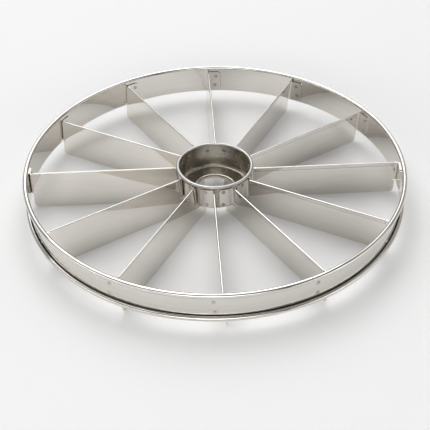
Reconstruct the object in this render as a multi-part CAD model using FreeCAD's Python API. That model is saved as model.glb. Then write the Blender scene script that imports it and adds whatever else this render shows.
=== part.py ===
import FreeCAD, Part
import math
import os

# Cake portion marker in stainless sheet: a hoop with rolled edges, a drawn hub and twelve
# radial dividers, each folded from one blank and spot-welded to both.
# Millimetres, +Z up. The origin is on the hoop's axis, level with the dividers' bottom edges,
# which press the portion lines and carry the part when it is set down.

# Driving sizes of the dividers
portions = 12
blade_height = 32.0
blade_sheet = 0.7
blade_lean = 4.4           # degrees, every divider's top leans clockwise seen from above
blade_top_offset = 2.5     # clockwise from the hoop's radius, at the top of the clockwise face
bend_radius = 1.5          # inside radius of both folds that turn a tab
bend_land = 1.0            # straight sheet between a fold and the rest of the divider
weld_gap = 0.05            # between a tab and the wall that it is welded to

# Hem along the top edge, folded down the clockwise face
hem_depth = 3.3
hem_gap = 0.1
hem_end_clearance = 0.6    # from the end of the hem to the bend land

# Tabs
outer_tab_reach = 13.5     # clockwise from the hoop's radius to the tab's free edge
outer_tab_bottom = 13.2
hub_tab_reach = 13.0
hub_tab_bottom = 15.0
tab_top_drop = 0.5         # tabs stop this far below the top of the dividers
tab_corner = 2.5

# Outline of a divider below its tabs
tip_clearance = 1.6        # from the hoop's bore to the free outer edge
tip_corner = 3.5
relief = 0.6               # height of the cut that frees a tab's fold
tongue_clearance = 0.2     # from the tongue's end to the hub's collar
tongue_corner = 1.5

# Hoop
hoop_bore_radius = 150.0
hoop_sheet = 0.8
hoop_bottom = 10.4         # height of its lower edge above the dividers' bottom edges
hoop_height = 25.8
hoop_roll_radius = 2.0     # of the curls along both edges
roll_gap = 0.25            # between the sheet's rolled-in edge and the wall

# Hub
hub_bore_radius = 28.4
hub_sheet = 0.8
hub_top = 35.6
hub_floor_bottom = 12.2    # underside of the floor, which the tongues carry
hub_roll_radius = 1.4
hub_corner = 2.2           # inside radius between wall and floor
collar_bore_radius = 15.5
collar_depth = 2.5         # below the underside of the floor
collar_bend = 0.8          # radius under the floor

# Places that follow from the sizes
lean_tangent = math.tan(math.radians(blade_lean))
lean_cosine = math.cos(math.radians(blade_lean))
hub_wall_radius = hub_bore_radius + hub_sheet
collar_radius = collar_bore_radius + hub_sheet
tab_top = blade_height - tab_top_drop
outer_face = hoop_bore_radius - weld_gap
hub_face = hub_wall_radius + weld_gap
outer_bend_start = outer_face - blade_sheet - bend_radius
hub_bend_start = hub_face + blade_sheet + bend_radius
outer_join = outer_bend_start - bend_land
hub_join = hub_bend_start + bend_land


def polar(radius, angle, z):
    return FreeCAD.Vector(radius * math.cos(angle), radius * math.sin(angle), z)


def arc_between(start, end, centre, radius):
    """The shorter arc of a circle about a centre, in a level plane."""
    middle = (start + end) * 0.5 - centre
    middle.z = 0
    middle.normalize()
    return Part.Arc(start, centre + middle * radius, end).toShape()


def revolved(points_and_arcs):
    """A full turn about Z of a closed outline drawn in the XZ plane."""
    face = Part.Face(Part.Wire(Part.__sortEdges__(points_and_arcs)))
    return face.revolve(FreeCAD.Vector(0, 0, 0), FreeCAD.Vector(0, 0, 1), 360)


def xz(x, z):
    return FreeCAD.Vector(x, 0, z)


def line(start, end):
    return Part.LineSegment(start, end).toShape()


def xz_arc(centre, radius, start_deg, end_deg):
    """An arc in the XZ plane; angles run from +X towards +Z."""
    def at(degrees):
        angle = math.radians(degrees)
        return xz(centre.x + radius * math.cos(angle), centre.z + radius * math.sin(angle))
    return Part.Arc(at(start_deg), at((start_deg + end_deg) / 2), at(end_deg)).toShape()


def outward_roll(bore, centre_z, roll_radius, sheet, up):
    """Edges of a curl that leaves the wall at centre_z and rolls outward, and its two starts.

    up is 1 for a curl at the top edge and -1 for one at the bottom.
    """
    centre = xz(bore + roll_radius, centre_z)
    tuck = math.degrees(math.asin((roll_radius - sheet - roll_gap) / roll_radius))
    start = 180
    end = start - up * (270 + tuck)
    outside = xz_arc(centre, roll_radius, start, end)
    inside = xz_arc(centre, roll_radius - sheet, start, end)
    lip = line(outside.Vertexes[-1].Point, inside.Vertexes[-1].Point)
    return [outside, inside, lip], xz(bore, centre_z), xz(bore + sheet, centre_z)


def make_hoop():
    top_z = hoop_bottom + hoop_height - hoop_roll_radius
    low_z = hoop_bottom + hoop_roll_radius
    top_edges, top_in, top_out = outward_roll(hoop_bore_radius, top_z, hoop_roll_radius, hoop_sheet, 1)
    low_edges, low_in, low_out = outward_roll(hoop_bore_radius, low_z, hoop_roll_radius, hoop_sheet, -1)
    walls = [line(low_in, top_in), line(low_out, top_out)]
    return revolved(top_edges + low_edges + walls)


def make_hub():
    roll_z = hub_top - hub_roll_radius
    floor_top = hub_floor_bottom + hub_sheet
    roll_edges, roll_in, roll_out = outward_roll(hub_bore_radius, roll_z, hub_roll_radius, hub_sheet, 1)
    corner = xz(hub_bore_radius - hub_corner, floor_top + hub_corner)
    collar_corner = xz(collar_radius + collar_bend, hub_floor_bottom - collar_bend)
    collar_end = hub_floor_bottom - collar_depth
    edges = roll_edges + [
        line(roll_in, xz(hub_bore_radius, corner.z)),
        xz_arc(corner, hub_corner, 0, -90),
        line(xz(corner.x, floor_top), xz(collar_corner.x, floor_top)),
        xz_arc(collar_corner, collar_bend + hub_sheet, 90, 180),
        line(xz(collar_bore_radius, collar_corner.z), xz(collar_bore_radius, collar_end)),
        line(xz(collar_bore_radius, collar_end), xz(collar_radius, collar_end)),
        line(xz(collar_radius, collar_end), xz(collar_radius, collar_corner.z)),
        xz_arc(collar_corner, collar_bend, 180, 90),
        line(xz(collar_corner.x, hub_floor_bottom), xz(corner.x, hub_floor_bottom)),
        xz_arc(corner, hub_corner + hub_sheet, -90, 0),
        line(xz(hub_wall_radius, corner.z), roll_out),
    ]
    return revolved(edges)


def face_offset(z):
    """How far clockwise of the hoop's radius a divider's clockwise face lies at a height."""
    return blade_top_offset - (blade_height - z) * lean_tangent


def tab_section(z, join, wall_radius, side, reach):
    """Level section of one tab with its fold, as a closed wire.

    side is 1 where the tab lies inside a wall (the hoop) and -1 where it lies outside one (the hub).
    """
    clockwise = -face_offset(z)
    thickness = blade_sheet / lean_cosine
    near_radius = wall_radius - side * thickness
    centre_radius = near_radius - side * bend_radius
    centre_y = clockwise - bend_radius
    centre_x = math.sqrt(centre_radius ** 2 - centre_y ** 2)
    centre = FreeCAD.Vector(centre_x, centre_y, z)
    centre_angle = math.atan2(centre_y, centre_x)
    end_angle = -math.asin(reach / wall_radius)
    inner = [FreeCAD.Vector(join, clockwise, z), FreeCAD.Vector(centre_x, clockwise, z),
             polar(near_radius, centre_angle, z), polar(near_radius, end_angle, z)]
    outer = [FreeCAD.Vector(join, clockwise + thickness, z), FreeCAD.Vector(centre_x, clockwise + thickness, z),
             polar(wall_radius, centre_angle, z), polar(wall_radius, end_angle, z)]
    axis = FreeCAD.Vector(0, 0, z)
    return Part.Wire([
        line(inner[0], inner[1]),
        arc_between(inner[1], inner[2], centre, bend_radius),
        arc_between(inner[2], inner[3], axis, near_radius),
        line(inner[3], outer[3]),
        arc_between(outer[3], outer[2], axis, wall_radius),
        arc_between(outer[2], outer[1], centre, bend_radius + thickness),
        line(outer[1], outer[0]),
        line(outer[0], inner[0]),
    ])


def make_tab(bottom, join, wall_radius, side, reach):
    """A tab and its fold, with the two corners of its free edge rounded."""
    sections = [tab_section(z, join, wall_radius, side, reach) for z in (bottom, tab_top)]
    tab = Part.makeLoft(sections, True, True)
    free_edge = -reach * (1 - blade_sheet / wall_radius) + 0.5
    corners = [edge for edge in tab.Edges
               if edge.BoundBox.YMax < free_edge and edge.BoundBox.ZLength < 0.01 and edge.Length < 2 * blade_sheet]
    return tab.makeFillet(tab_corner, corners)


def rounded_outline(corners):
    """A closed wire in the XZ plane through (x, z, radius) corners, each rounded by its radius."""
    edges = []
    count = len(corners)
    ends = []
    for index, (x, z, radius) in enumerate(corners):
        here = xz(x, z)
        before = xz(*corners[index - 1][:2])
        after = xz(*corners[(index + 1) % count][:2])
        back = (before - here).normalize()
        forth = (after - here).normalize()
        if radius == 0:
            ends.append((here, here))
            continue
        half_turn = back.getAngle(forth) / 2
        setback = radius / math.tan(half_turn)
        start = here + back * setback
        end = here + forth * setback
        middle_way = (back + forth).normalize()
        middle = here + middle_way * (radius / math.sin(half_turn) - radius)
        edges.append(Part.Arc(start, middle, end).toShape())
        ends.append((start, end))
    for index in range(count):
        edges.append(line(ends[index][1], ends[(index + 1) % count][0]))
    return Part.Wire(Part.__sortEdges__(edges))


def upright_to_lean(shape):
    """Tips a divider's flat sheet from upright, on Y = 0, to its lean.

    Its lower edge and the tongue's seat under the hub are then trimmed level.
    """
    leaned = shape.copy()
    leaned.rotate(FreeCAD.Vector(0, 0, 0), FreeCAD.Vector(1, 0, 0), blade_lean)
    leaned.translate(FreeCAD.Vector(0, -face_offset(0), 0))
    half_width = blade_height
    below = Part.makeBox(hoop_bore_radius, 2 * half_width, blade_sheet,
                         FreeCAD.Vector(0, -half_width, -blade_sheet))
    above_tongue = Part.makeBox(hub_join, 2 * half_width, blade_height,
                                FreeCAD.Vector(0, -half_width, hub_floor_bottom))
    return leaned.cut([below, above_tongue])


def make_sheet():
    """The flat of a divider with its tongue under the hub, before it leans. Its clockwise face is Y = 0."""
    def up(z):
        return z / lean_cosine
    fold_z = blade_height - blade_sheet - hem_gap / 2
    hem_start = hub_join + hem_end_clearance
    hem_end = outer_join - hem_end_clearance
    trimmed = -blade_sheet * lean_tangent
    tip = hoop_bore_radius - tip_clearance
    tongue_end = collar_radius + tongue_clearance
    outline = rounded_outline([
        (tongue_end, trimmed, tongue_corner),
        (tip, trimmed, tip_corner),
        (tip, up(outer_tab_bottom - relief), 0),
        (outer_join, up(outer_tab_bottom - relief), 0),
        (outer_join, up(tab_top), 0),
        (hem_end, up(tab_top), 0),
        (hem_end, up(fold_z), 0),
        (hem_start, up(fold_z), 0),
        (hem_start, up(tab_top), 0),
        (hub_join, up(tab_top), 0),
        (hub_join, up(hub_floor_bottom) - trimmed, 0),
        (tongue_end, up(hub_floor_bottom) - trimmed, tongue_corner),
    ])
    flat = Part.Face(outline).extrude(FreeCAD.Vector(0, blade_sheet, 0))
    return flat.fuse(make_hem(hem_start, hem_end, up(fold_z)))


def make_hem(start, end, fold_z):
    """The folded-down strip along the top, with the thin slot that a closed hem leaves."""
    def yz(y, z):
        return FreeCAD.Vector(start, y, z)
    outside = blade_sheet
    inside = -hem_gap
    far = -hem_gap - blade_sheet
    lower = fold_z + blade_sheet + hem_gap / 2 - hem_depth
    middle = (outside + far) / 2
    crown = fold_z + (outside - far) / 2
    section = Part.Wire([
        line(yz(outside, fold_z), yz(0, fold_z)),
        line(yz(0, fold_z), yz(inside, fold_z)),
        line(yz(inside, fold_z), yz(inside, lower)),
        line(yz(inside, lower), yz(far, lower)),
        line(yz(far, lower), yz(far, fold_z)),
        Part.Arc(yz(far, fold_z), yz(middle, crown), yz(outside, fold_z)).toShape(),
    ])
    return Part.Face(section).extrude(FreeCAD.Vector(end - start, 0, 0))


def make_blade():
    """One divider pointing along +X."""
    outer_tab = make_tab(outer_tab_bottom, outer_join, outer_face, 1, outer_tab_reach)
    hub_tab = make_tab(hub_tab_bottom, hub_join, hub_face, -1, hub_tab_reach)
    blade = upright_to_lean(make_sheet()).multiFuse([outer_tab, hub_tab])
    return blade.removeSplitter()


os.makedirs("parts", exist_ok=True)
make_hoop().exportStep("parts/outer_ring.step")
make_hub().exportStep("parts/hub.step")
first_blade = make_blade()
for number in range(portions):
    blade = first_blade.copy()
    blade.rotate(FreeCAD.Vector(0, 0, 0), FreeCAD.Vector(0, 0, 1), 90 - number * 360 / portions)
    blade.exportStep(f"parts/blade_{number + 1:02d}.step")
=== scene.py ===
from collections import namedtuple
from math import cos, pi, radians, sin

import bpy
from mathutils import Matrix, Vector


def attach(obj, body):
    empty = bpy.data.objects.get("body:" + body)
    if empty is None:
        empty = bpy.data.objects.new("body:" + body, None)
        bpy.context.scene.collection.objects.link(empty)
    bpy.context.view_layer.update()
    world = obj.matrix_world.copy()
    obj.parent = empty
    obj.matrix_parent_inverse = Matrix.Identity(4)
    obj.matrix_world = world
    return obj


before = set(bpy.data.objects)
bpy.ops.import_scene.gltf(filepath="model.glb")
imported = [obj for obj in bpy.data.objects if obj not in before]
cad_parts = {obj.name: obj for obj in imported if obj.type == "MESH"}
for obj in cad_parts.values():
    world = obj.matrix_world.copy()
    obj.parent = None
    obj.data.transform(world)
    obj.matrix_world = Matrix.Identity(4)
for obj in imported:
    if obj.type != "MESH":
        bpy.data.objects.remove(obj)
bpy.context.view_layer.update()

# Object layout, in metres: z is up, blade_01 points along +Y, and the blades run clockwise seen from above
PORTIONS = 12
HOOP_OUTSIDE = 0.1508
HOOP_TAB_FACE = 0.149248
HUB_INSIDE = 0.0284
HUB_TAB_FACE = 0.029952
BETWEEN_WALLS = 0.09
WALL_SLACK = 0.0003
BLADE_TOP = 0.032
HUB_RIM = 0.0334
HUB_RIM_BLUR = 0.0008

# Share of a portion, just before a blade's radius, that still counts as that blade's
LEAD_IN = 0.1

# A range is its two ends and the blur outside each. SHARP is the blur of a clean edge
SHARP = 0.00005

# Heights at which the sheet is flat: above and below them bending has smoothed its marks
HOOP_FLAT = (0.0146, 0.0320, 0.0004, 0.0004)
HUB_FLAT = (0.0, 0.0328, 0.0004, 0.0004)
BLADE_FLAT = (0.0, 0.0311, 0.0004, 0.0004)

# Dividers' hem: its radii, and the heights and clockwise reach of its face, which gets a painted darker
# reflection, and of the painted shade in the crevice under it
HEM_RADII = (0.0330, 0.1462, 0.001, SHARP)
HEM_FACE_HEIGHTS = (0.02870, BLADE_TOP, SHARP, SHARP)
HEM_FACE_REACH = (0.0028, 0.0034, 0.0001, SHARP)
CREVICE_SHADE_HEIGHTS = (0.02795, 0.02870, 0.0002, SHARP)
CREVICE_SHADE_REACH = (0.0020, 0.0032, 0.0002, SHARP)

# Tabs' outlines on their walls: clockwise reach, heights and corner radius; and the radii of the walls
HOOP_TAB = ((0.0035, 0.0135), (0.0132, 0.0315), 0.0025)
HUB_TAB = ((0.0035, 0.01347), (0.0150, 0.0315), 0.0025)
HOOP_WALL = (0.1499, 0.1502, SHARP, SHARP)
HUB_WALL = (0.02910, 0.02930, SHARP, SHARP)
# Painted shade in a band just outside each tab's outline: its width, and its blur inside the outline
TAB_SHADE_WIDTH = 0.0005
TAB_SHADE_BLUR = 0.0002

# Painted shade in the grooves where the hoop's curls come back to its wall
GROOVE_HEIGHTS = ((0.0136, 0.0147, 0.0001, 0.0005), (0.0320, 0.0326, 0.0004, 0.0001))
GROOVE_RADII = (0.1507, 0.1513, SHARP, 0.0003)

# Spot welds, two on each tab: distance clockwise of the blade's radius, its spread, and heights
WELD_OFFSET = 0.0093
WELD_SPREAD = 0.0013
WELD_TURNS = (2.1, 0.9)
HOOP_WELD_HEIGHTS = (0.0272, 0.0178)
HUB_WELD_HEIGHTS = (0.0292, 0.0168)

# A weld's dimple: share of its radius and height above the wall as a share of the rim's, from the centre out
WELD_RADIUS = 0.0014
WELD_RIM = 0.00036
DIMPLE_RINGS = ((0.30, 0.12), (0.60, 0.45), (0.80, 1.0), (0.92, 0.85), (1.05, -0.4))
DIMPLE_CENTRE = 0.05
DIMPLE_FOOT = -0.4
DIMPLE_SEGMENTS = 18

# Heat tint round a weld: where it starts and is full, as shares of the dimple's radius, and its strength
HALO_REACH = (1.6, 0.6)
HALO_STRENGTH = (0.35, 0.85)
HALO_TURN = 1.7

# Polished stainless steel: the rolled sheet is brighter than the drawn cup
SHEET_COLOUR = (0.78, 0.75, 0.705)
HUB_COLOUR = (0.56, 0.52, 0.455)
RIM_COLOUR = (0.56, 0.545, 0.52)

# Shares of the steel's own colour that remain in its heat tint and stains, and in its painted shade
WELD_TINT = (0.42, 0.37, 0.28)
DULL_AND_SHADE_TINT = 0.80
PAINTED_SHADE_TINT = 0.12
GROOVE_SHADE_TINT = 0.10

# How far the painted shade and the hem's painted darker reflection take those colours
HEM_REFLECTION_SHADE = 0.4
TAB_SHADE_DARKNESS = 0.85
GROOVE_SHADE_STRENGTH = 0.9

# Noise of each kind of mark: its scale per metre, detail and roughness
FINE_LINES = (1800.0, 4.0, 0.5)
BROAD_LINES = (520.0, 3.0, 0.6)
CLOUDS = (28.0, 4.0, 0.6)
SPECKS = (420.0, 3.0, 0.7)

# Stretch of the lines round the axis and along a blade, and their shift from one blade to the next
ROUND_STRETCH = 0.003
RADIAL_STRETCH = 0.04
BLADE_SHIFT = 0.01

# Noise values between which each effect grows from nothing to full
STAIN_GROWS = (0.35, 0.70)
STREAK_GROWS = (0.42, 0.66)
HAZE_GROWS = (0.30, 0.75)
LINE_GROWS = (0.45, 0.75)

# Roughness that fine lines and a weld's heat add, and the factor on the hub's satin rim
LINE_ROUGHNESS = 0.05
WELD_ROUGHNESS = 0.12
RIM_ROUGHNESS = 1.6

# Bump: the share of each kind of mark, their height in metres, and the strength on bends and on flat sheet
FINE_SHARE = 0.35
SPECK_SHARE = 0.15
BROAD_SHARE = 2.0
BUMP_HEIGHT = 0.00008
BUMP_STRENGTH = (0.015, 0.12)

# Camera at the photograph's angle: heading from +Y towards +X, angle below the horizon, and roll, in degrees
CAMERA_TARGET = (-0.00247, -0.04592, 0.020)
CAMERA_DISTANCE = 0.7732
CAMERA_HEADING = 2.704
CAMERA_DROP = 39.26
CAMERA_ROLL = -0.782
CAMERA_LENS = 82.85
CAMERA_SENSOR = 36.0

# Floor: width, depth under the blades' lower edges, two greys and the noise between them, and finish
FLOOR_SIZE = 12.0
FLOOR_DROP = 0.0001
FLOOR_GREYS = (0.90, 0.93)
FLOOR_PATCHES = (3.0, 3.0, 0.5)
FLOOR_ROUGHNESS = 0.85
FLOOR_SPECULAR = 0.2

# Share of plain white in the floor as the camera and the steel see it: by the part, and far away from it
FLOOR_WHITE = (0.10, 0.85)
FLOOR_WHITE_RADII = (0.22, 1.10)

# Low strip lamps in front: width and height in metres, and the angle of their grids in degrees
STRIP = (1.6, 0.25)
STRIP_SPREAD = 80.0

# Surroundings: grey on the camera's side and elsewhere, and the backdrop's grey where it is seen directly
WORLD_FRONT = 0.10
WORLD_AROUND = 0.37
BACKDROP = 0.88

# The upward and northward parts of a direction between which the surroundings change
CEILING_EDGE = (0.70, 0.90)
FAR_SIDE_EDGE = (-0.10, 0.30)

Spot = namedtuple("Spot", "place east north height radius portion along")


class Nodes:
    """Adds nodes to a tree and links them, so that a material reads as one short list of steps."""

    def __init__(self, tree):
        self.tree = tree

    def add(self, kind, **settings):
        node = self.tree.nodes.new(kind)
        for name, value in settings.items():
            setattr(node, name, value)
        return node

    def feed(self, socket, value):
        if isinstance(value, bpy.types.NodeSocket):
            self.tree.links.new(value, socket)
        else:
            socket.default_value = value

    def math(self, operation, first, second=0.0):
        node = self.add("ShaderNodeMath", operation=operation)
        for socket, value in zip(node.inputs, (first, second)):
            self.feed(socket, value)
        return node.outputs[0]

    def vector(self, x, y, z):
        node = self.add("ShaderNodeCombineXYZ")
        for socket, value in zip(node.inputs, (x, y, z)):
            self.feed(socket, value)
        return node.outputs[0]

    def length(self, x, y):
        """Length of a flat vector with the parts x and y."""
        return self.math("SQRT", self.math("ADD", self.math("MULTIPLY", x, x), self.math("MULTIPLY", y, y)))

    def noise(self, where, scale, detail, roughness):
        node = self.add("ShaderNodeTexNoise")
        self.feed(node.inputs["Vector"], where)
        node.inputs["Scale"].default_value = scale
        node.inputs["Detail"].default_value = detail
        node.inputs["Roughness"].default_value = roughness
        return node.outputs["Fac"]

    def spread(self, value, low, high, to_low, to_high):
        """Maps a value from low..high to to_low..to_high, and holds it there beyond the ends."""
        node = self.add("ShaderNodeMapRange", clamp=True)
        for socket, number in zip(node.inputs, (value, low, high, to_low, to_high)):
            self.feed(socket, number)
        return node.outputs[0]

    def mix(self, factor, first, second):
        node = self.add("ShaderNodeMix", data_type="RGBA")
        for name, value in (("Factor_Float", factor), ("A_Color", first), ("B_Color", second)):
            socket = next(s for s in node.inputs if s.identifier == name)
            self.feed(socket, value)
        return next(s for s in node.outputs if s.identifier == "Result_Color")


def opaque(colour, share=1.0):
    """A colour, or a share of it, with full alpha."""
    return (*[c * share for c in colour], 1.0)


def grey(level):
    return level, level, level, 1.0


def spot_on_part(n):
    """Where a point lies: place, direction from the axis, height, radius, portion, arc past the blade."""
    place = n.add("ShaderNodeTexCoord").outputs["Object"]
    split = n.add("ShaderNodeSeparateXYZ")
    n.feed(split.inputs[0], place)
    x, y, height = split.outputs
    radius = n.length(x, y)
    turn = n.math("MULTIPLY", n.math("ARCTAN2", x, y), PORTIONS / (2 * pi))
    portion = n.math("FLOOR", n.math("ADD", turn, LEAD_IN))
    arc = n.math("MULTIPLY", n.math("SUBTRACT", turn, portion), 2 * pi / PORTIONS)
    along = n.math("MULTIPLY", arc, radius)
    east = n.math("DIVIDE", x, radius)
    north = n.math("DIVIDE", y, radius)
    return Spot(place, east, north, height, radius, n.math("FLOORED_MODULO", portion, PORTIONS), along)


def weld_distance(n, spot):
    """Distance to the nearest spot weld, which sits on a wall or tab and not on a rolled edge."""
    at_hoop = n.math("GREATER_THAN", spot.radius, BETWEEN_WALLS)
    rows = []
    for row, (hoop_height, hub_height) in enumerate(zip(HOOP_WELD_HEIGHTS, HUB_WELD_HEIGHTS)):
        turn = n.math("ADD", n.math("MULTIPLY", spot.portion, WELD_TURNS[0]), WELD_TURNS[1] * row)
        swing = n.math("MULTIPLY", n.math("SINE", turn), WELD_SPREAD)
        across = n.math("ADD", n.math("SUBTRACT", spot.along, WELD_OFFSET), swing)
        weld_height = n.math("ADD", n.math("MULTIPLY", at_hoop, hoop_height - hub_height), hub_height)
        rows.append(n.length(across, n.math("SUBTRACT", spot.height, weld_height)))
    on_curl = n.math("GREATER_THAN", spot.radius, HOOP_OUTSIDE + WALL_SLACK)
    return n.math("ADD", n.math("MINIMUM", *rows), on_curl)


def within(n, *parts):
    """1 where every value is in its range, and 0 elsewhere; each part is a value and its range."""
    share = 1.0
    for value, (low, high, blur_low, blur_high) in parts:
        above = n.spread(value, low - blur_low, low, 0.0, 1.0)
        below = n.spread(value, high, high + blur_high, 1.0, 0.0)
        share = n.math("MULTIPLY", share, n.math("MULTIPLY", above, below))
    return share


def round_tab(n, spot, outline):
    """Mask of the painted shade round a tab: 1 on a wall just outside a tab's outline, a rectangle with round
    corners, and 0 elsewhere.
    """
    reach, heights, corner = outline
    beyond = []
    for value, (start, end) in ((spot.along, reach), (spot.height, heights)):
        offset = n.math("ABSOLUTE", n.math("SUBTRACT", value, (start + end) / 2))
        beyond.append(n.math("MAXIMUM", n.math("SUBTRACT", offset, (end - start) / 2 - corner), 0.0))
    gap = n.math("SUBTRACT", n.length(*beyond), corner)
    starts = n.spread(gap, -TAB_SHADE_BLUR, 0.0, 0.0, 1.0)
    ends = n.spread(gap, 0.0, TAB_SHADE_WIDTH, 1.0, 0.0)
    return n.math("MULTIPLY", starts, ends)


def shade_tab_outlines(n, spot, colour, tinted, outline, wall):
    """Painted shade in a thin band round each tab's outline on a wall."""
    tab_shade = n.math("MULTIPLY", round_tab(n, spot, outline), within(n, (spot.radius, wall)))
    return n.mix(n.math("MULTIPLY", tab_shade, TAB_SHADE_DARKNESS), tinted, opaque(colour, PAINTED_SHADE_TINT))


def shade_hoop(n, spot, colour, tinted):
    """Painted shade round the tabs' outlines, and painted shade in the grooves where the curls come back to
    the wall.
    """
    tinted = shade_tab_outlines(n, spot, colour, tinted, HOOP_TAB, HOOP_WALL)
    for heights in GROOVE_HEIGHTS:
        groove_shade = within(n, (spot.height, heights), (spot.radius, GROOVE_RADII))
        tinted = n.mix(n.math("MULTIPLY", groove_shade, GROOVE_SHADE_STRENGTH), tinted, opaque(colour, GROOVE_SHADE_TINT))
    return tinted


def shade_hub(n, spot, colour, tinted):
    """Painted shade round the tabs' outlines."""
    return shade_tab_outlines(n, spot, colour, tinted, HUB_TAB, HUB_WALL)


def shade_blade(n, spot, colour, tinted):
    """Painted darker reflection on the hem's face, and painted shade in the crevice at its lower edge."""
    span = (spot.radius, HEM_RADII)
    face = within(n, (spot.height, HEM_FACE_HEIGHTS), span, (spot.along, HEM_FACE_REACH))
    crevice_shade = within(n, (spot.height, CREVICE_SHADE_HEIGHTS), span, (spot.along, CREVICE_SHADE_REACH))
    tinted = n.mix(n.math("MULTIPLY", face, HEM_REFLECTION_SHADE), tinted, opaque(colour, DULL_AND_SHADE_TINT))
    return n.mix(crevice_shade, tinted, opaque(colour, PAINTED_SHADE_TINT))


def line_place(n, spot, grain):
    """Place for the line noises, stretched round the axis or along the blades."""
    if grain == "round":
        east = n.math("MULTIPLY", spot.east, ROUND_STRETCH)
        north = n.math("MULTIPLY", spot.north, ROUND_STRETCH)
        return n.vector(east, north, n.math("ADD", spot.height, spot.radius))
    out = n.math("MULTIPLY", spot.radius, RADIAL_STRETCH)
    return n.vector(out, n.math("MULTIPLY", spot.portion, BLADE_SHIFT), spot.height)


def steel(name, colour, grain, roughness, streak, stain, flat, shade, rim_from=None):
    """Steel with rolling or turning marks, soft handling marks, and tinted spot welds.

    grain is "round" or "radial", and roughness goes from the cleanest places to the most handled. streak and
    stain say how strongly the lines and the clouds show. The marks fade outside the heights in flat. shade
    darkens the narrow places where no light gets in. Above the height rim_from the finish is an even satin.
    """
    material = bpy.data.materials.new(name)
    material.use_nodes = True
    tree = material.node_tree
    tree.nodes.clear()
    n = Nodes(tree)
    spot = spot_on_part(n)

    lines = line_place(n, spot, grain)
    fine = n.noise(lines, *FINE_LINES)
    broad = n.noise(lines, *BROAD_LINES)
    clouds = n.noise(spot.place, *CLOUDS)
    specks = n.noise(spot.place, *SPECKS)

    wave = n.math("SINE", n.math("MULTIPLY", spot.portion, HALO_TURN))
    start, full = (share * WELD_RADIUS for share in HALO_REACH)
    near_weld = n.spread(weld_distance(n, spot), start, full, 0.0, 1.0)
    halo = n.math("MULTIPLY", near_weld, n.spread(wave, -1.0, 1.0, *HALO_STRENGTH))

    dull = opaque(colour, DULL_AND_SHADE_TINT)
    burnt = opaque([c * share for c, share in zip(colour, WELD_TINT)])
    tinted = n.mix(n.spread(clouds, *STAIN_GROWS, 0.0, stain), opaque(colour), dull)
    tinted = n.mix(n.spread(broad, *STREAK_GROWS, 0.0, streak), tinted, dull)
    rough = n.spread(clouds, *HAZE_GROWS, *roughness)
    rough = n.math("ADD", rough, n.spread(fine, *LINE_GROWS, 0.0, LINE_ROUGHNESS))
    rough = n.math("ADD", rough, n.math("MULTIPLY", halo, WELD_ROUGHNESS))
    if rim_from is not None:
        rim = n.spread(spot.height, rim_from, rim_from + HUB_RIM_BLUR, 0.0, 1.0)
        tinted = n.mix(rim, tinted, opaque(RIM_COLOUR))
        rough = n.math("MULTIPLY", rough, n.spread(rim, 0.0, 1.0, 1.0, RIM_ROUGHNESS))
    # Paints shade into the narrow places, over the heat tint
    tinted = shade(n, spot, colour, n.mix(halo, tinted, burnt))

    marks = n.math("ADD", n.math("MULTIPLY", fine, FINE_SHARE), n.math("MULTIPLY", specks, SPECK_SHARE))
    marks = n.math("ADD", marks, n.math("MULTIPLY", broad, BROAD_SHARE * streak))
    bump = n.add("ShaderNodeBump")
    n.feed(bump.inputs["Strength"], n.spread(within(n, (spot.height, flat)), 0.0, 1.0, *BUMP_STRENGTH))
    bump.inputs["Distance"].default_value = BUMP_HEIGHT
    n.feed(bump.inputs["Height"], marks)

    shader = n.add("ShaderNodeBsdfPrincipled")
    shader.inputs["Metallic"].default_value = 1.0
    n.feed(shader.inputs["Base Color"], tinted)
    n.feed(shader.inputs["Roughness"], rough)
    n.feed(shader.inputs["Normal"], bump.outputs["Normal"])
    output = n.add("ShaderNodeOutputMaterial")
    n.feed(output.inputs["Surface"], shader.outputs[0])
    return material


def dimple(surface, outward, portion, row, level):
    """Points of one dimple on a wall of the radius surface: its centre, its rings and the foot below."""
    swing = sin(WELD_TURNS[0] * portion + WELD_TURNS[1] * row)
    centre = 2 * pi * portion / PORTIONS + (WELD_OFFSET - WELD_SPREAD * swing) / surface

    def point(share, rise, angle):
        turn = centre + share * WELD_RADIUS * cos(angle) / surface
        out = surface + outward * rise * WELD_RIM
        return out * sin(turn), out * cos(turn), level + share * WELD_RADIUS * sin(angle)

    points = [point(0.0, DIMPLE_CENTRE, 0.0)]
    for share, rise in DIMPLE_RINGS:
        points += [point(share, rise, 2 * pi * k / DIMPLE_SEGMENTS) for k in range(DIMPLE_SEGMENTS)]
    return points + [point(0.0, DIMPLE_FOOT, 0.0)]


def dimple_faces(first):
    """Faces of one dimple whose points start at the number first."""
    rings = [first + 1 + ring * DIMPLE_SEGMENTS for ring in range(len(DIMPLE_RINGS))]
    last = rings[-1] + DIMPLE_SEGMENTS
    faces = []
    for k in range(DIMPLE_SEGMENTS):
        k_next = (k + 1) % DIMPLE_SEGMENTS
        faces.append((first, rings[0] + k, rings[0] + k_next))
        for inner, outer in zip(rings, rings[1:]):
            faces.append((inner + k, outer + k, outer + k_next, inner + k_next))
        faces.append((rings[-1] + k, last, rings[-1] + k_next))
    return faces


def add_weld_dimples(name, surface, outward, heights, material):
    """Shallow electrode dimples with a squeezed-up rim, two per portion, on a wall or a row of tabs."""
    verts = []
    faces = []
    for portion in range(PORTIONS):
        for row, level in enumerate(heights):
            faces += dimple_faces(len(verts))
            verts += dimple(surface, outward, portion, row, level)
    mesh = bpy.data.meshes.new(name)
    mesh.from_pydata(verts, [], faces)
    if outward > 0:
        mesh.flip_normals()
    mesh.polygons.foreach_set("use_smooth", [True] * len(mesh.polygons))
    mesh.materials.append(material)
    dimples = bpy.data.objects.new(name, mesh)
    bpy.context.collection.objects.link(dimples)
    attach(dimples, "root")


def give(node, material):
    """Puts a material on every slot of a CAD node."""
    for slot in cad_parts[node].material_slots:
        slot.material = material


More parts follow.
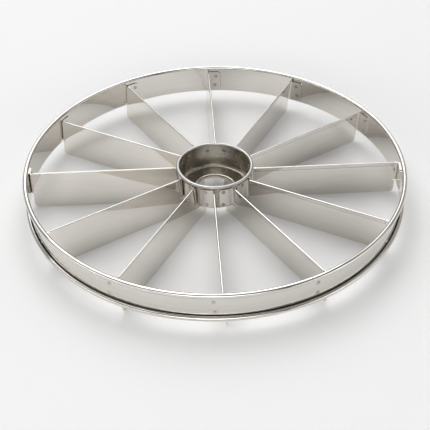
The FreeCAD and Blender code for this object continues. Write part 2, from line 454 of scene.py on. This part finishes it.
def floor_material():
    """Pale matt studio floor, which looks nearly white in the picture and in the steel and keeps shadows."""
    material = bpy.data.materials.new("studio_floor")
    material.use_nodes = True
    tree = material.node_tree
    n = Nodes(tree)
    place = n.add("ShaderNodeTexCoord").outputs["Object"]
    shader = tree.nodes["Principled BSDF"]
    patches = n.noise(place, *FLOOR_PATCHES)
    n.feed(shader.inputs["Base Color"], n.mix(patches, *[grey(level) for level in FLOOR_GREYS]))
    shader.inputs["Roughness"].default_value = FLOOR_ROUGHNESS
    shader.inputs["Specular IOR Level"].default_value = FLOOR_SPECULAR
    white = n.add("ShaderNodeEmission")
    white.inputs["Color"].default_value = grey(1.0)
    white.inputs["Strength"].default_value = 1.0
    ray = n.add("ShaderNodeLightPath")
    seen = n.math("MAXIMUM", ray.outputs["Is Camera Ray"], ray.outputs["Is Glossy Ray"])
    away = n.add("ShaderNodeVectorMath", operation="LENGTH")
    n.feed(away.inputs[0], place)
    share = n.spread(away.outputs["Value"], *FLOOR_WHITE_RADII, *FLOOR_WHITE)
    blend = n.add("ShaderNodeMixShader")
    n.feed(blend.inputs[0], n.math("MULTIPLY", seen, share))
    n.feed(blend.inputs[1], shader.outputs[0])
    n.feed(blend.inputs[2], white.outputs[0])
    n.feed(tree.nodes["Material Output"].inputs["Surface"], blend.outputs[0])
    return material


def add_floor():
    mesh = bpy.data.meshes.new("studio_floor")
    h = FLOOR_SIZE / 2
    mesh.from_pydata([(-h, -h, 0), (h, -h, 0), (h, h, 0), (-h, h, 0)], [], [(0, 1, 2, 3)])
    mesh.materials.append(floor_material())
    floor = bpy.data.objects.new("studio_floor", mesh)
    floor.location.z = -FLOOR_DROP
    bpy.context.collection.objects.link(floor)


def add_softbox(name, place, size, power, aim=(0.0, 0.0, 0.02), spread=180.0):
    """A rectangular soft lamp aimed at the part: power in watts, and spread, its grid's angle, in degrees."""
    lamp = bpy.data.lights.new(name, "AREA")
    lamp.shape = "RECTANGLE"
    lamp.size, lamp.size_y = size
    lamp.energy = power
    lamp.spread = radians(spread)
    obj = bpy.data.objects.new(name, lamp)
    obj.location = place
    obj.rotation_euler = (Vector(aim) - Vector(place)).to_track_quat("-Z", "Y").to_euler()
    obj.visible_camera = False
    bpy.context.collection.objects.link(obj)


def add_world():
    """Plain grey surroundings, dimmer on the camera's side up to the ceiling, and a pale backdrop."""
    world = bpy.data.worlds.new("studio")
    world.use_nodes = True
    n = Nodes(world.node_tree)
    direction = n.add("ShaderNodeSeparateXYZ")
    n.feed(direction.inputs[0], n.add("ShaderNodeTexCoord").outputs["Generated"])
    overhead = n.spread(direction.outputs["Z"], *CEILING_EDGE, 0.0, 1.0)
    far_side = n.spread(direction.outputs["Y"], *FAR_SIDE_EDGE, 0.0, 1.0)
    colour = n.mix(n.math("MAXIMUM", overhead, far_side), grey(WORLD_FRONT), grey(WORLD_AROUND))
    direct = n.add("ShaderNodeLightPath").outputs["Is Camera Ray"]
    background = world.node_tree.nodes["Background"]
    n.feed(background.inputs["Color"], n.mix(direct, colour, grey(BACKDROP)))
    background.inputs["Strength"].default_value = 1.0
    bpy.context.scene.world = world


def add_camera():
    heading = Matrix.Rotation(-radians(CAMERA_HEADING), 4, "Z")
    pitch = Matrix.Rotation(radians(90.0 - CAMERA_DROP), 4, "X")
    roll = Matrix.Rotation(radians(CAMERA_ROLL), 4, "Z")
    turn = heading @ pitch @ roll
    forward = turn.to_3x3() @ Vector((0.0, 0.0, -1.0))
    data = bpy.data.cameras.new("camera")
    data.lens = CAMERA_LENS
    data.sensor_width = CAMERA_SENSOR
    camera = bpy.data.objects.new("camera", data)
    place = Vector(CAMERA_TARGET) - forward * CAMERA_DISTANCE
    camera.matrix_world = Matrix.Translation(place) @ turn
    bpy.context.collection.objects.link(camera)
    bpy.context.scene.camera = camera


add_camera()

hoop_steel = steel(
    "hoop_steel", SHEET_COLOUR, grain="round", roughness=(0.03, 0.07), streak=0.22, stain=0.16,
    flat=HOOP_FLAT, shade=shade_hoop,
)
blade_steel = steel(
    "blade_steel", SHEET_COLOUR, grain="radial", roughness=(0.02, 0.06), streak=0.18, stain=0.16,
    flat=BLADE_FLAT, shade=shade_blade,
)
hub_steel = steel(
    "hub_steel", HUB_COLOUR, grain="round", roughness=(0.12, 0.34), streak=0.85, stain=0.70,
    flat=HUB_FLAT, shade=shade_hub, rim_from=HUB_RIM,
)
give("outer_ring", hoop_steel)
give("hub", hub_steel)
for number in range(1, PORTIONS + 1):
    give(f"blade_{number:02d}", blade_steel)

add_weld_dimples("hoop_weld_dimples", HOOP_OUTSIDE, 1, HOOP_WELD_HEIGHTS, hoop_steel)
add_weld_dimples("hoop_tab_weld_dimples", HOOP_TAB_FACE, -1, HOOP_WELD_HEIGHTS, blade_steel)
add_weld_dimples("hub_weld_dimples", HUB_INSIDE, -1, HUB_WELD_HEIGHTS, hub_steel)
add_weld_dimples("hub_tab_weld_dimples", HUB_TAB_FACE, 1, HUB_WELD_HEIGHTS, blade_steel)

add_floor()
add_softbox("key", (-0.20, 0.50, 1.42), (1.6, 1.2), 12.8)
add_softbox("back", (-0.10, 1.50, 1.22), (1.6, 0.7), 6.0)
add_softbox("front", (-0.10, -0.95, 0.42), STRIP, 1.1, aim=(0.0, -0.16, 0.03), spread=STRIP_SPREAD)
add_softbox("front_left", (-1.20, -0.50, 0.42), STRIP, 0.75, aim=(-0.08, -0.06, 0.03), spread=STRIP_SPREAD)
add_softbox("front_right", (1.15, -0.50, 0.42), STRIP, 0.75, aim=(0.08, -0.06, 0.03), spread=STRIP_SPREAD)
add_world()

scene = bpy.context.scene
scene.view_settings.view_transform = "Standard"
